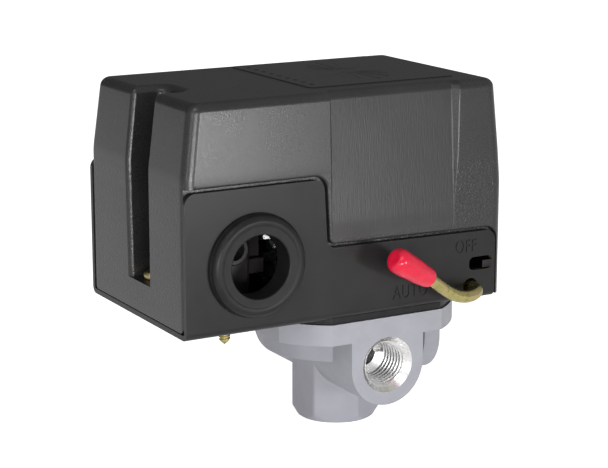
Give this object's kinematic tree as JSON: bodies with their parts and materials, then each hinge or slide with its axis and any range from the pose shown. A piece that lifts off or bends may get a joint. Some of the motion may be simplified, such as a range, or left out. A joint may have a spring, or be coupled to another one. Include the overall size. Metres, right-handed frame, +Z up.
{
  "type": "pressure switch",
  "caption": "Air-compressor pressure switch: black cover over a bent steel base, grey cast manifold with pipe ports, cord grommet and a red-tipped lever for automatic running and off.",
  "frame": {"origin": "centre of the bottom port, at the foot of the manifold's hexagon", "axes": "+Z up through the port, +X towards the lever end, -Y the front with the lever"},
  "size_m": [0.0988, 0.0775, 0.0991],
  "materials": {
    "black_paint": "satin",
    "black_plastic": "satin, fine moulded grain",
    "rubber": "matte",
    "grey_paint": "satin",
    "dark_steel": "satin",
    "bright_zinc": "bright zinc",
    "yellow_zinc": "yellow zinc",
    "spring_steel": "satin",
    "brass": "satin",
    "phenolic": "satin",
    "red_vinyl": "glossy"
  },
  "bodies": {
    "housing": {"base_frame": "black_paint", "cover": "black_plastic", "front_grommet": "rubber", "back_grommet": "rubber", "diaphragm": "rubber", "manifold": "grey_paint", "manifold_screw_1": "bright_zinc", "manifold_screw_2": "bright_zinc", "manifold_screw_3": "bright_zinc", "manifold_screw_4": "bright_zinc", "range_stud": "bright_zinc", "range_nut": "bright_zinc", "range_seat": "bright_zinc", "differential_stud": "bright_zinc", "differential_nut": "bright_zinc", "differential_seat": "bright_zinc", "terminal_screw_1": "bright_zinc", "terminal_screw_2": "bright_zinc", "terminal_screw_3": "bright_zinc", "terminal_screw_4": "bright_zinc", "block_screw_1": "bright_zinc", "block_screw_2": "bright_zinc", "cover_screw": "yellow_zinc", "cover_post": "yellow_zinc", "ground_screw": "yellow_zinc", "range_spring": "spring_steel", "differential_spring": "spring_steel", "terminal_plate_1": "brass", "terminal_plate_2": "brass", "terminal_plate_3": "brass", "terminal_plate_4": "brass", "contact_block": "phenolic"},
    "range_arm": {"range_plate": "dark_steel"},
    "piston_head": {"piston": "bright_zinc"},
    "contact_slide": {"contact_carrier": "phenolic", "contact_bridge_1": "brass", "contact_bridge_2": "brass", "contact_spring_1": "spring_steel", "contact_spring_2": "spring_steel"},
    "lever": {"lever_rod": "yellow_zinc", "lever_sleeve": "red_vinyl"}
  },
  "joints": [
    {"name": "range_tilt", "type": "hinge", "parent": "housing", "child": "range_arm", "pos_m": [0.031, 0, 0.047], "axis": [0, 1, 0], "range_deg": [0, 2.5], "stiffness_Nm_per_rad": 1.5, "springref_deg": -1.72, "deforming": ["range_spring", "differential_spring"]},
    {"name": "piston_lift", "type": "slide", "parent": "housing", "child": "piston_head", "axis": [0, 0, 1], "range_m": [0, 0.0014]},
    {"name": "contact_lift", "type": "slide", "parent": "housing", "child": "contact_slide", "axis": [0, 0, 1], "range_m": [0, 0.0029]},
    {"name": "lever_turn", "type": "hinge", "parent": "housing", "child": "lever", "pos_m": [0.0259, -0.03, 0.0408], "axis": [0, 1, 0], "range_deg": [0, 60]}
  ],
  "couplings": [
    {"joint": "piston_lift", "follows": "range_tilt", "m_per_rad": 0.031},
    {"joint": "contact_lift", "follows": "range_tilt", "m_per_rad": 0.0638}
  ]
}
